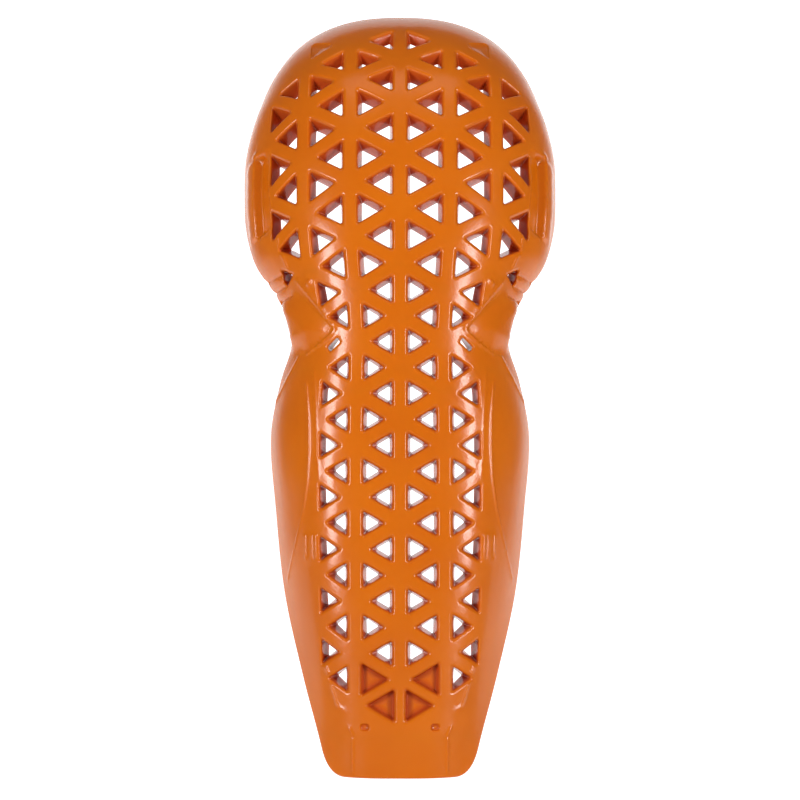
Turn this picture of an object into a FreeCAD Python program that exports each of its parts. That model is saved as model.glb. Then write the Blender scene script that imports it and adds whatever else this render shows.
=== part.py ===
"""Knee and shin guard: one soft perforated moulding, modelled as its panels, wings, flaps and flex webs.

Millimetres.  +Z runs up the shin, the front faces -Y, +X is to the right seen from the front.  The origin is
the inner apex of the knee cup, where the kneecap rests.
"""
import FreeCAD, Part
import math
import os

from FreeCAD import Vector

# Driving sizes.  Heights are measured from the kneecap centre, up positive.
SIZES = {
    "wall": 10.0,
    "rim_wall": 3.2,
    "rim_taper": 26.0,
    "brow_wall": 5.0,
    "toe_wall": 6.5,
    # lattice of triangular holes
    "rib": 6.4,
    "hole_draft": 11.0,
    "recess_depth": 4.5,
    "knee_column": 23.6,
    "waist_column": 20.3,
    "shin_column": 20.9,
    "shin_pitch": 24.1,
    # where the moulding flexes
    "web_top": -41.0,
    "web_bottom": -92.0,
    "brow_line": 62.0,
    "toe_line": -255.0,
    "toe_end": -274.0,
    "toe_corner_reach": 37.4,
    "toe_corner_height": -258.5,
    "toe_flat_reach": 21.0,
    "flap_top_height": 40.0,
    "flap_top_reach": 69.9,
    "flap_bottom_height": -41.0,
    "flap_bottom_reach": 66.2,
    "flap_web": 4.0,
    "wing_top_height": -93.0,
    "wing_top_reach": 58.3,
    "wing_bottom_height": -250.0,
    "wing_bottom_reach": 40.4,
    "wing_web": 4.0,
    # slanted slot below each gusset's apex
    "slot_reach": 31.4,
    "slot_height": -72.0,
    "slot_length": 9.4,
    "slot_width": 3.4,
    "slot_slope": 40.0,
    # waist gusset, a solid triangle beside the lattice
    "gusset_apex_reach": 31.5,
    "gusset_apex_height": -65.5,
    "gusset_top_reach": 49.0,
    "gusset_top_height": -40.0,
    "gusset_bottom_reach": 47.0,
    "gusset_bottom_height": -76.0,
}

# One cross-section per line: height of its front centre point, how far back that point is, backward lean of
# the section's plane (degrees), half width, slope of the wall at the rim (degrees), and boxiness, from 0 for
# an even curve to 1 for a flat front with round shoulders.
STATION_FIELDS = ("height", "setback", "lean", "reach", "rim_slope", "boxiness")
STATIONS = {
    "top_rim": (88.0, 43.0, 80.0, 60.5, 62.0, 0.0),
    "brow_back": (84.6, 34.5, 66.0, 62.5, 64.5, 0.0),
    "brow_front": (79.3, 26.0, 54.0, 64.8, 67.5, 0.0),
    "brow_foot": (70.0, 15.8, 41.0, 67.8, 73.0, 0.0),
    "crown": (55.0, 5.2, 30.0, 71.8, 77.0, 0.0),
    "upper_cup": (37.0, -1.6, 24.5, 75.3, 80.0, 0.0),
    "cup": (18.0, -6.8, 22.0, 75.8, 83.0, 0.0),
    "knee": (0.0, -10.0, 20.0, 74.8, 84.0, 0.0),
    "lower_cup": (-20.0, -12.8, 18.0, 69.8, 82.0, 0.05),
    "cup_foot": (-39.0, -14.5, 14.0, 60.0, 80.0, 0.15),
    "waist_top": (-55.0, -15.1, 8.0, 54.2, 77.0, 0.3),
    "waist": (-73.0, -15.2, 0.0, 52.1, 74.0, 0.45),
    "shin_top": (-90.0, -15.2, 0.0, 57.5, 74.0, 0.7),
    "shin_wide": (-116.0, -15.6, 0.0, 62.4, 74.0, 0.9),
    "shin": (-150.0, -16.2, 0.0, 60.0, 71.0, 1.0),
    "shin_low": (-190.0, -17.0, 0.0, 55.4, 66.0, 1.0),
    "shin_foot": (-228.0, -17.8, 0.0, 46.4, 54.0, 0.9),
    "toe": (-258.0, -18.4, 0.0, 38.0, 42.0, 0.8),
    "toe_tip": (-278.0, -18.9, 0.0, 33.2, 34.0, 0.8),
}

# Heights of the rows whose straight sides lie on the centre rib and the third rib, above the shin's even
# rows.
KNEE_ROWS = (73.5, 53.6, 29.6, 4.1, -22.0, -47.4)
SHIN_ROW_COUNT = 9
# Highest and lowest hole of each column, counted outwards from the centre rib.
COLUMN_TOPS = (80.0, 66.0, 56.0)
COLUMN_FEET = (-245.0, -232.0, -40.0)
# Below this height the innermost column has blind recesses in place of holes.
BLIND_BELOW = -210.0

# The wall thins upwards over the first pair of heights and downwards over the second.
BROW_THINNING = (50.0, 80.0)
TOE_THINNING = (-232.0, -267.0)

CURVE_POWER = 1.45
# A fully boxy section turns between these shares of the length from its centre to its rim.
SHOULDER = (0.1, 0.96)
CURVE_STEPS = 48
ACROSS_POINTS = 17
# The outermost points lie just inside the rim, where the face still has a direction on both sides.
RIM_SHARE = 0.9999
FRAME_STEP = 0.5
# Named sections further apart than this get another one between them.
SECTION_GAP = 12.0
CUTTER_MARGIN = 2.5
# The second column has its slot where a hole within this height would be.
SLOT_ROOM = 6.0
COLUMN_RUN = 60.0
# Regions reach past the moulding on every side, and past its foot.
REACH_LIMIT = 100.0
FOOT_LIMIT = -400.0
END_RUN = 30.0
# Holes whose middle is this far past a zone's end still reach into the zone.
HOLE_REACH = 8.0

doc = FreeCAD.newDocument("KneeGuard")
sheet = doc.addObject("Spreadsheet::Sheet", "Sizes")


def fill_sheet():
    """Writes every driving size into the sheet, one aliased cell each."""
    values = dict(SIZES)
    for station, numbers in STATIONS.items():
        for field, number in zip(STATION_FIELDS, numbers):
            values[f"{station}_{field}"] = number
    for row, (alias, value) in enumerate(values.items(), start=1):
        sheet.set(f"A{row}", alias)
        sheet.set(f"B{row}", str(value))
        sheet.setAlias(f"B{row}", alias)
    doc.recompute()


def size(alias):
    return float(sheet.get(alias))


fill_sheet()
STATION_ROWS = [[size(f"{name}_{field}") for field in STATION_FIELDS] for name in STATIONS]


def station_at(height):
    """The station values at any height, on a smooth curve through the named stations."""
    last = len(STATION_ROWS) - 2
    low = 0
    while low < last and height < STATION_ROWS[low + 1][0]:
        low += 1
    before = STATION_ROWS[max(low - 1, 0)]
    upper = STATION_ROWS[low]
    lower = STATION_ROWS[low + 1]
    after = STATION_ROWS[min(low + 2, last + 1)]
    gap = lower[0] - upper[0]
    part = (height - upper[0]) / gap
    values = [height]
    for column in range(1, len(STATION_FIELDS)):
        slope_up = (lower[column] - before[column]) / (lower[0] - before[0]) * gap
        slope_down = (after[column] - upper[column]) / (after[0] - upper[0]) * gap
        values.append(
            (2 * part**3 - 3 * part**2 + 1) * upper[column]
            + (part**3 - 2 * part**2 + part) * slope_up
            + (3 * part**2 - 2 * part**3) * lower[column]
            + (part**3 - part**2) * slope_down
        )
    return values


def share_between(value, start, end):
    """How far a value is from the start to the end, from 0 to 1."""
    return min(max((value - start) / (end - start), 0.0), 1.0)


class Section:
    """One cross-section of the outer face, followed by its length along the wall from the centre line."""

    def __init__(self, height):
        values = station_at(height)
        self.height, self.setback, lean, reach, rim_slope, boxiness = values
        self.lean = math.radians(lean)
        rim_slope = math.radians(rim_slope)
        self.across = [0.0]
        self.back = [0.0]
        for step in range(CURVE_STEPS):
            share = (step + 0.5) / CURVE_STEPS
            even = share**CURVE_POWER
            turn = share_between(share, *SHOULDER)
            boxy = 3 * turn**2 - 2 * turn**3
            slope = rim_slope * ((1 - boxiness) * even + boxiness * boxy)
            self.across.append(self.across[-1] + math.cos(slope) / CURVE_STEPS)
            self.back.append(self.back[-1] + math.sin(slope) / CURVE_STEPS)
        self.length = reach / self.across[-1]

    def point(self, along):
        """The outer face's point at a length along the wall, positive towards +X."""
        place = min(abs(along) / self.length, 1.0) * CURVE_STEPS
        index = min(int(place), CURVE_STEPS - 1)
        part = place - index
        across = self.across[index] + (self.across[index + 1] - self.across[index]) * part
        back = self.back[index] + (self.back[index + 1] - self.back[index]) * part
        across *= math.copysign(self.length, along)
        back *= self.length
        return Vector(
            across,
            self.setback + back * math.cos(self.lean),
            self.height - back * math.sin(self.lean),
        )


def outer_frame(height, along):
    """The outer point there, with the upward, sideways and outward directions of the face."""
    here = Section(height)
    above = Section(height + FRAME_STEP).point(along)
    below = Section(height - FRAME_STEP).point(along)
    up = (above - below).normalize()
    side = (here.point(along + FRAME_STEP) - here.point(along - FRAME_STEP)).normalize()
    out = side.cross(up).normalize()
    return here.point(along), up, side, out


def wall_at(height, along, length):
    """Wall thickness: full in the lattice, thinner towards the rims, the brow and the toe."""
    full = size("wall")
    from_rim = share_between(length - abs(along), 0.0, size("rim_taper"))
    edge = from_rim * from_rim * (3 - 2 * from_rim)
    brow = share_between(height, *BROW_THINNING)
    toe = share_between(height, *TOE_THINNING)
    middle = full + (size("brow_wall") - full) * brow + (size("toe_wall") - full) * toe
    return size("rim_wall") + (middle - size("rim_wall")) * edge


def section_wire(height):
    """Closed wire of one cross-section: outer curve, rim, inner curve, rim."""
    section = Section(height)
    outer = []
    inner = []
    for index in range(ACROSS_POINTS):
        share = 2 * index / (ACROSS_POINTS - 1) - 1
        along = share * section.length * RIM_SHARE
        point, up, side, out = outer_frame(height, along)
        flat_out = Vector(out)
        plane_normal = Vector(0, math.sin(section.lean), math.cos(section.lean))
        flat_out -= plane_normal * flat_out.dot(plane_normal)
        flat_out.normalize()
        outer.append(point)
        inner.append(point - flat_out * wall_at(height, along, section.length))
    outer_curve = Part.BSplineCurve()
    outer_curve.interpolate(outer)
    inner_curve = Part.BSplineCurve()
    inner_curve.interpolate(inner[::-1])
    right_rim = Part.LineSegment(outer[-1], inner[-1])
    left_rim = Part.LineSegment(inner[0], outer[0])
    return Part.Wire([curve.toShape() for curve in (outer_curve, right_rim, inner_curve, left_rim)])


def add(kind, name, **properties):
    item = doc.addObject(kind, name)
    for key, value in properties.items():
        setattr(item, key, value)
    return item


def make_shell():
    """The whole moulding without its holes, lofted through the cross-sections."""
    named = [row[0] for row in STATION_ROWS]
    heights = []
    for upper, lower in zip(named, named[1:]):
        heights.append(upper)
        if upper - lower > SECTION_GAP:
            heights.append((upper + lower) / 2)
    heights.append(named[-1])
    sections = []
    for index, height in enumerate(heights):
        section = doc.addObject("Part::Feature", f"section_{index}")
        section.Shape = section_wire(height)
        sections.append(section)
    return add("Part::Loft", "shell", Sections=sections, Solid=True, Ruled=False)


def slab(name, low, high):
    """Everything between two heights, each a number or a formula on the sheet."""
    box = doc.addObject("Part::Box", name)
    box.Length = 2 * REACH_LIMIT
    box.Width = 2 * REACH_LIMIT
    box.setExpression("Height", f"({high}) - ({low})")
    box.Placement.Base = Vector(-REACH_LIMIT, -REACH_LIMIT, 0)
    box.setExpression("Placement.Base.z", f"{low}")
    return box


def outboard_box(name, part, web):
    """Everything outboard of a line in the front view, from the rim above to the rim below, plus a web."""
    reach = f"Sizes.{part}_bottom_reach"
    foot = f"Sizes.{part}_bottom_height"
    rise = f"(Sizes.{part}_top_height - {foot})"
    lean = f"atan((Sizes.{part}_top_reach - {reach}) / {rise})"
    box = doc.addObject("Part::Box", name)
    box.Length = REACH_LIMIT
    box.Width = 2 * REACH_LIMIT
    box.setExpression("Height", f"{rise} + {2 * END_RUN}")
    box.Placement.Rotation = FreeCAD.Rotation(Vector(0, 1, 0), 1)
    box.setExpression("Placement.Rotation.Angle", lean)
    box.setExpression("Placement.Base.x", f"{reach} - {END_RUN} * tan({lean}) + ({web}) * cos({lean})")
    box.setExpression("Placement.Base.z", f"{foot} - {END_RUN} - ({web}) * sin({lean})")
    box.Placement.Base.y = -REACH_LIMIT
    return box


def mirrored(name, source):
    return add("Part::Mirroring", name, Source=source, Base=Vector(0, 0, 0), Normal=Vector(1, 0, 0))


def common(name, base, tool):
    return add("Part::Common", name, Base=base, Tool=tool)


def cut(name, base, tool):
    return add("Part::Cut", name, Base=base, Tool=tool)


def both_sides(name, right):
    """The right-hand region and its mirror image as one tool."""
    return add("Part::MultiFuse", name, Shapes=[right, mirrored(name + "_left", right)])


def column_edge(number, height):
    """Length along the wall from the centre rib to a rib: the columns are narrowest at the waist."""
    from_waist = height - size("waist_height")
    far = size("knee_column") if from_waist > 0 else size("shin_column")
    spread = min(abs(from_waist) / COLUMN_RUN, 1.0)
    width = size("waist_column") + (far - size("waist_column")) * math.sin(spread * math.pi / 2) ** 2
    return number * width


def row_heights():
    """Heights of the even rows, whose straight sides lie on the centre rib and on the third rib."""
    rows = list(KNEE_ROWS)
    for _ in range(SHIN_ROW_COUNT):
        rows.append(rows[-1] - size("shin_pitch"))
    return rows


def hole_cutter(height, pitch, edge, tip, depth):
    """Tapered triangular prism through the wall; its straight side lies on a rib at the column's edge."""
    middle = (2 * edge + tip) / 3
    centre, up, side, out = outer_frame(height, middle)
    width = abs(tip - edge)
    sign = math.copysign(1, tip - edge)
    corners = [up * (pitch / 2) - side * (sign * width / 3)]
    corners.append(up * (-pitch / 2) - side * (sign * width / 3))
    corners.append(side * (sign * width * 2 / 3))
    triangles = []
    for level in (CUTTER_MARGIN, -depth):
        inset = size("rib") / 2 - level * math.tan(math.radians(size("hole_draft")))
        shrink = 1 - inset / (width / 3)
        points = [centre + out * level + corner * shrink for corner in corners]
        triangles.append(Part.makePolygon(points + points[:1]))
    return Part.makeLoft(triangles, True, True)


def lattice_cutters(name, low, high):
    """Every hole and blind recess whose middle lies between two heights, on both sides of the centre rib."""
    rows = row_heights()
    cutters = []
    for index, height in enumerate(rows[:-1]):
        pitch = height - rows[index + 1]
        for column in range(len(COLUMN_TOPS)):
            for odd in (0, 1):
                middle = height - pitch / 2 * odd
                if not low < middle <= high:
                    continue
                if not COLUMN_FEET[column] < middle < COLUMN_TOPS[column]:
                    continue
                if column == 1 and abs(middle - size("slot_height")) < SLOT_ROOM:
                    continue
                inner = column_edge(column, middle)
                outer = column_edge(column + 1, middle)
                edge, tip = (outer, inner) if (column + odd) % 2 else (inner, outer)
                blind = column == 0 and middle < BLIND_BELOW
                depth = size("recess_depth") if blind else size("wall") + CUTTER_MARGIN
                for side in (1, -1):
                    cutters.append(hole_cutter(middle, pitch, side * edge, side * tip, depth))
    holes = doc.addObject("Part::Feature", name)
    holes.Shape = Part.makeCompound(cutters)
    return holes


def make_gusset_prism():
    """The right-hand gusset's outline in the front view, as a prism through the wall."""
    apex = Vector(size("gusset_apex_reach"), -REACH_LIMIT, size("gusset_apex_height"))
    upper = Vector(size("gusset_top_reach"), -REACH_LIMIT, size("gusset_top_height"))
    lower = Vector(size("gusset_bottom_reach"), -REACH_LIMIT, size("gusset_bottom_height"))
    far_upper = Vector(REACH_LIMIT, -REACH_LIMIT, size("gusset_top_height"))
    far_lower = apex + (lower - apex) * (REACH_LIMIT / lower.x)
    outline = add("Part::Feature", "gusset_outline")
    outline.Shape = Part.makePolygon([apex, upper, far_upper, far_lower, apex])
    return extruded("gusset_prism", outline)


def make_shin_blank():
    """The shin's outline in the front view, down to the toe's round corners, as a prism."""
    top = size("web_bottom")
    end = size("toe_end")
    corner = size("toe_corner_reach")
    corner_height = size("toe_corner_height")
    flat = size("toe_flat_reach")
    half_turn = math.pi / 4
    bulge_reach = flat + (corner - flat) * math.sin(half_turn)
    bulge_height = end + (corner_height - end) * (1 - math.cos(half_turn))

    def at(reach, height):
        return Vector(reach, -REACH_LIMIT, height)

    right_corner = Part.Arc(at(corner, corner_height), at(bulge_reach, bulge_height), at(flat, end))
    left_corner = Part.Arc(at(-flat, end), at(-bulge_reach, bulge_height), at(-corner, corner_height))
    points = [at(-corner, corner_height), at(-REACH_LIMIT, corner_height + END_RUN), at(-REACH_LIMIT, top)]
    points += [at(REACH_LIMIT, top), at(REACH_LIMIT, corner_height + END_RUN), at(corner, corner_height)]
    edges = [Part.LineSegment(start, stop).toShape() for start, stop in zip(points, points[1:])]
    edges += [right_corner.toShape(), Part.LineSegment(at(flat, end), at(-flat, end)).toShape()]
    edges += [left_corner.toShape()]
    outline = add("Part::Feature", "shin_outline")
    outline.Shape = Part.Wire(edges)
    return extruded("shin_region", outline)


def extruded(name, outline):
    """Front-view outline as a prism right through the wall."""
    prism = add("Part::Extrusion", name, Base=outline, Dir=Vector(0, 1, 0), Solid=True)
    prism.DirMode = "Custom"
    prism.LengthFwd = 2 * REACH_LIMIT
    return prism


def make_slot_cutter():
    """Slanted slot through the web below the gusset's apex, rising towards the centre."""
    slot = doc.addObject("Part::Box", "slot_cutter")
    slot.setExpression("Length", "Sizes.slot_length")
    slot.Width = REACH_LIMIT
    slot.setExpression("Height", "Sizes.slot_width")
    slot.Placement.Rotation = FreeCAD.Rotation(Vector(0, 1, 0), 1)
    slot.setExpression("Placement.Rotation.Angle", "Sizes.slot_slope")
    half_length = "Sizes.slot_length / 2"
    half_width = "Sizes.slot_width / 2"
    slope = "Sizes.slot_slope"
    slot.setExpression(
        "Placement.Base.x", f"Sizes.slot_reach - {half_length} * cos({slope}) - {half_width} * sin({slope})"
    )
    slot.setExpression(
        "Placement.Base.z", f"Sizes.slot_height + {half_length} * sin({slope}) - {half_width} * cos({slope})"
    )
    slot.Placement.Base.y = -REACH_LIMIT / 2
    return slot


def make_parts():
    """Divides the shell into its panels; a node's name is its object's label."""
    knee_box = slab("knee_region", "Sizes.web_top", REACH_LIMIT)
    waist_box = slab("waist_region", "Sizes.web_bottom", "Sizes.web_top")
    brow_box = slab("brow_region", "Sizes.brow_line", REACH_LIMIT)
    toe_box = slab("toe_region", FOOT_LIMIT, "Sizes.toe_line")
    knee = common("knee_shell", shell, knee_box)
    waist = common("waist_shell", shell, waist_box)
    shin = common("shin_shell", shell, make_shin_blank())
    parts = {}
    for part, base in (("flap", knee), ("wing", shin)):
        owner = "knee_flap" if part == "flap" else "shin_wing"
        beyond_line = outboard_box(f"{part}_side_region", part, 0)
        beyond_web = outboard_box(f"{part}_tip_region", part, f"Sizes.{part}_web")
        side = common(f"{part}_side", base, beyond_line)
        parts[f"right_{owner}"] = common(f"right_{owner}", side, beyond_web)
        parts[f"right_{owner}_web"] = cut(f"right_{owner}_web", side, beyond_web)
        parts[f"left_{owner}"] = mirrored(f"left_{owner}", parts[f"right_{owner}"])
        parts[f"left_{owner}_web"] = mirrored(f"left_{owner}_web", parts[f"right_{owner}_web"])
        parts[f"{part}_core"] = cut(f"{part}_core", base, both_sides(f"{part}_sides", beyond_line))
    knee_core = parts.pop("flap_core")
    shin_core = parts.pop("wing_core")
    brow = common("brow_blank", knee_core, brow_box)
    cup = cut("cup_blank", knee_core, brow_box)
    toe = common("toe_blank", shin_core, toe_box)
    plate = cut("plate_blank", shin_core, toe_box)
    gusset_prism = make_gusset_prism()
    parts["right_waist_gusset"] = common("right_waist_gusset", waist, gusset_prism)
    parts["left_waist_gusset"] = mirrored("left_waist_gusset", parts["right_waist_gusset"])
    web = cut("web_blank", waist, both_sides("gusset_prisms", gusset_prism))
    web_top = size("web_top")
    web_bottom = size("web_bottom")
    knee_holes = lattice_cutters("knee_holes", web_top - HOLE_REACH, REACH_LIMIT)
    waist_holes = lattice_cutters("waist_holes", web_bottom - HOLE_REACH, web_top + HOLE_REACH)
    shin_holes = lattice_cutters("shin_holes", size("toe_end"), web_bottom + HOLE_REACH)
    parts["knee_brow"] = cut("knee_brow", brow, knee_holes)
    parts["knee_cup"] = cut("knee_cup", cup, knee_holes)
    slotted_web = cut("slotted_web", web, both_sides("slot_cutters", make_slot_cutter()))
    parts["waist_web"] = cut("waist_web", slotted_web, waist_holes)
    parts["shin_plate"] = cut("shin_plate", plate, shin_holes)
    parts["toe_panel"] = toe
    return parts


shell = make_shell()
parts = make_parts()
doc.recompute()
for item in doc.Objects:
    if "Invalid" in item.State or "Error" in item.State:
        raise RuntimeError(f"{item.Name} did not build")
for node, item in parts.items():
    item.Label = node
    if item.Shape.isNull() or not item.Shape.isValid():
        raise RuntimeError(f"{node} has no valid shape")

os.makedirs("parts", exist_ok=True)
for node, item in parts.items():
    item.Shape.exportStep(f"parts/{node}.step")
    box = item.Shape.BoundBox
    print(f"{node}: {len(item.Shape.Solids)} solid, {item.Shape.Volume / 1000:.1f} cm3, {box}")
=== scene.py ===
"""Knee and shin guard: the visible moulding, its material, the stage, the lights and the camera.

The guard is worked out in millimetres and built in metres, in the CAD model's frame: +Z runs up the shin,
the front faces -Y, +X is to the right seen from the front, and the origin is the inner apex of the knee cup.
A place on the moulding is (along, height): the length along the wall from the centre line, and the height
of that cross-section's front centre point. Seen from the front, a place is (reach, height).
"""
import math

import bpy
import numpy as np
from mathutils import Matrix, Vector
from mathutils.geometry import delaunay_2d_cdt
from mathutils.kdtree import KDTree


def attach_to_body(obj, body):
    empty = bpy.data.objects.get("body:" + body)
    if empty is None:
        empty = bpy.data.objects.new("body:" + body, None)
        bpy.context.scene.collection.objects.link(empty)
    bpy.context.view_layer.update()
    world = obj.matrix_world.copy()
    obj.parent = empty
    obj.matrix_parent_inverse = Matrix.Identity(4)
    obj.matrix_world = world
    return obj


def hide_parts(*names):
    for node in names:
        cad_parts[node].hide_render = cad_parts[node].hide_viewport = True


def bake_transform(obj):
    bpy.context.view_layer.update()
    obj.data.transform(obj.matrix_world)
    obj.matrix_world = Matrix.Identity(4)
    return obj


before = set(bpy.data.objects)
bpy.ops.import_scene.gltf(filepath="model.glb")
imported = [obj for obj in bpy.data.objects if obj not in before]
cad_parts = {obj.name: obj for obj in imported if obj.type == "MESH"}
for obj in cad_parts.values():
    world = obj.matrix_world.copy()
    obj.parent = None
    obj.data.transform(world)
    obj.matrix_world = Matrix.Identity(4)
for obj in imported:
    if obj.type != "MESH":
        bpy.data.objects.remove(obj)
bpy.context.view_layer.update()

MM = 0.001

# One cross-section per line: height of its front centre point, how far back that point is, backward lean
# of the section's plane (degrees), half width, slope of the wall at the rim (degrees), and boxiness, from 0
# for an even curve to 1 for a flat front with round shoulders.
STATIONS = np.array([
    (88.0, 43.0, 80.0, 60.5, 62.0, 0.0),
    (84.6, 34.5, 66.0, 62.5, 64.5, 0.0),
    (79.3, 26.0, 54.0, 64.8, 67.5, 0.0),
    (70.0, 15.8, 41.0, 67.8, 73.0, 0.0),
    (55.0, 5.2, 30.0, 71.8, 77.0, 0.0),
    (37.0, -1.6, 24.5, 75.3, 80.0, 0.0),
    (18.0, -6.8, 22.0, 75.8, 83.0, 0.0),
    (0.0, -10.0, 20.0, 74.8, 84.0, 0.0),
    (-20.0, -12.8, 18.0, 69.8, 82.0, 0.05),
    (-39.0, -14.5, 14.0, 60.0, 80.0, 0.15),
    (-55.0, -15.1, 8.0, 54.2, 77.0, 0.3),
    (-73.0, -15.2, 0.0, 52.1, 74.0, 0.45),
    (-90.0, -15.2, 0.0, 57.5, 74.0, 0.7),
    (-116.0, -15.6, 0.0, 62.4, 74.0, 0.9),
    (-150.0, -16.2, 0.0, 60.0, 71.0, 1.0),
    (-190.0, -17.0, 0.0, 55.4, 66.0, 1.0),
    (-228.0, -17.8, 0.0, 46.4, 54.0, 0.9),
    (-258.0, -18.4, 0.0, 38.0, 42.0, 0.8),
    (-278.0, -18.9, 0.0, 33.2, 34.0, 0.8),
])
CURVE_POWER = 1.45
# A fully boxy section turns between these shares of the length from its centre to its rim.
SHOULDER = (0.1, 0.96)
CURVE_STEPS = 48

TOP = 88.0
# How much height the face gains per length along it, at its top.
TOP_CLIMB = 0.37
TOE_END = -274.0
TOE_LINE = -255.0

# wall thickness
WALL = 10.0
RIM_WALL = 3.2
RIM_TAPER = 26.0
BROW_WALL = 5.0
TOE_WALL = 6.5
# The wall thins above one height towards the brow, and below another towards the toe.
BROW_START = 50.0
BROW_RUN = 30.0
TOE_START = -232.0
TOE_RUN = 35.0
RIM_ROUND = 1.25

# lattice of triangular holes: rows from the top down, and columns from the centre rib outwards
KNEE_ROWS = (73.5, 53.6, 29.6, 4.1, -22.0, -47.4)
SHIN_ROW_COUNT = 9
SHIN_PITCH = 24.1
TOP_RIB_GAP = 9.9
KNEE_COLUMN = 23.6
WAIST_COLUMN = 20.3
SHIN_COLUMN = 20.9
WAIST_HEIGHT = -73.0
COLUMN_RUN = 60.0
# The last row of open holes, above the blind recesses, and the row where the gusset takes a hole's place.
LAST_OPEN_ROW = 12
GUSSET_ROW = 6
# A hole's edge: a small round, then a bevel at this slope, then the drafted wall.
FLAT_INSET = 2.0
EDGE_ROUND = 1.4
EDGE_STEPS = 4
BEVEL_SLOPE = 56.0
BEVEL_RUN = 0.8
BACK_INSET = 4.9
BACK_ROUND = 0.7
# Painted shade: below this depth the wall's colour turns towards the darker, redder shade of a hole, over
# this run.
HOLE_SHADE_FROM = 0.05
HOLE_SHADE_RUN = 1.9
# The lowest hole of the outermost column is nearly closed.
LAST_FRONT = 3.3
LAST_BACK = 6.0
RECESS_DEPTH = 4.5
RECESS_FRONT = 1.0
RECESS_INSET = 3.2
FLOOR_ROUND = 0.4
# The outline's corners are rounded, and less so deeper down.
CORNER_ROUND = 1.6
CORNER_TIGHTENING = 0.5
CORNER_LEAST = 0.45
ARC_STEPS = 4
SIDE_STEPS = 4
# The upper rows rise towards the flanks, by this much at the outermost rib.
ROW_RISE = 6.0
ROW_RISE_RUN = 55.0
OUTER_RIB = 3
# How far an outer hole leans from square towards straight back, as a part of the way.
KNEE_LEAN = 0.75
SHIN_LEAN = 1.0
LEAN_FROM = 4.0
LEAN_RUN = 18.0
LEAN_CHANGE = 25.0
LEAST_FACING = 0.3

# mesh: the skins' grid, and the least room around its points and the extra ones
SKIN_STEP = 2.6
GRID_ROW = 0.87
GRID_COLUMNS = 48
EXTRA_ROOM = 0.55
GRID_ROOM = 1.25
EDGE_ROOM = 0.5
MIDDLE_ROOM = 0.6
SIDE_ROWS = 130
CURVED_CORNER_STEPS = (10, 8)

# flex lines: (reach, height) of the rim points that each one joins, seen from the front, and the web's width
FLAP_LINE = ((66.2, -41.0), (69.9, 40.0))
WING_LINE = ((40.4, -250.0), (58.3, -93.0))
SIDE_WEB = 4.0
FAR_OUT = 200.0
# Cuts across the moulding: the (rib, row) nodes that each one follows, and its rise from there to the rim.
CROSS_CUTS = {
    "brow": (((0, 0), (1, 0), (2, 0)), 6.0),
    "waist_top": (((0, 4), (1, 5), (2, 4), (3, 5)), -1.0),
    "waist_foot": (((0, 6), (1, 7), (2, 6)), -8.0),
}
CUT_REACH = 90.0
# A cut's own points stop this far short of the skin's edge.
CUT_ROOM = 0.9
# The waist bends between these heights.
WAIST_BEND = (-54.5, -83.0)

# details, seen from the front: (reach, height) places
GUSSET_APEX = (31.4, -65.9)
# On the moulding: how far out the gusset's upper line starts, and where its lower line runs.
GUSSET_TOP = 57.0
GUSSET_FOOT = ((46.0, -77.0), (90.0, -82.0))
GUSSET_RISE = 2.6
GUSSET_RUN = 10.0
GUSSET_END_RUNS = (11.0, 5.0)
GUSSET_RIM_RUN = 6.0
BOSS_PLACE = (42.8, -43.7)
BOSS_RADIUS = 1.9
BOSS_FALL = (0.7, 0.9)
BOSS_RISE = 0.6
BOSS_RINGS = (0.0, 0.8, 1.2, 1.65, 2.1, 2.6)
SLOT_PLACE = (30.9, -72.8)
SLOT_SLOPE = 40.0
# The angle between the slot's sides and its ends, in radians.
SLOT_SKEW = 1.75
SLOT_LENGTH = 9.6
SLOT_WIDTH = 5.2
DIMPLE_PLACE = (16.4, -250.3)
DIMPLE_HALF = (2.6, 2.1)
FLANK_BAR = ((68.6, 17.5), (68.8, -2.0), (67.4, -21.5))
BAR_RUN = 15.0
BAR_SINK = 3.3
BAR_STEP_RUN = 2.2
BAR_RISE = 0.8
BAR_WIDTH = 9.0
BAR_FADE = 4.0
BAR_END_RUNS = (1.2, 1.6)
CAP_OFFSET = (1.5, 1.5)
CAP_SIZE = (5.0, 2.2)
CAP_RISE = 0.9
# Spacing of a relief line's points; its rise has gone at this many times its half width.
RELIEF_STEP = 4.0
LINE_FALL = 1.6
TOE_CORNER = 12.5
TOE_CORNER_RUN = 13.0
TOP_CORNER = (10.0, 12.0)


# ---- the moulding's outer face
def smooth(value):
    value = np.clip(value, 0.0, 1.0)
    return value * value * (3 - 2 * value)


def station_values(height):
    """The station values at each height, on a smooth curve through the stations."""
    last = len(STATIONS) - 1
    index = np.clip(np.searchsorted(-STATIONS[:, 0], -height, side="right") - 1, 0, last - 1)
    before, upper = STATIONS[np.maximum(index - 1, 0)], STATIONS[index]
    lower, after = STATIONS[index + 1], STATIONS[np.minimum(index + 2, last)]
    gap = (lower[:, 0] - upper[:, 0])[:, None]
    part = (height - upper[:, 0])[:, None] / gap
    slope_up = (lower - before) / (lower[:, :1] - before[:, :1]) * gap
    slope_down = (after - upper) / (after[:, :1] - upper[:, :1]) * gap
    values = (2 * part**3 - 3 * part**2 + 1) * upper + (part**3 - 2 * part**2 + part) * slope_up
    return values + (3 * part**2 - 2 * part**3) * lower + (part**3 - part**2) * slope_down


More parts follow.
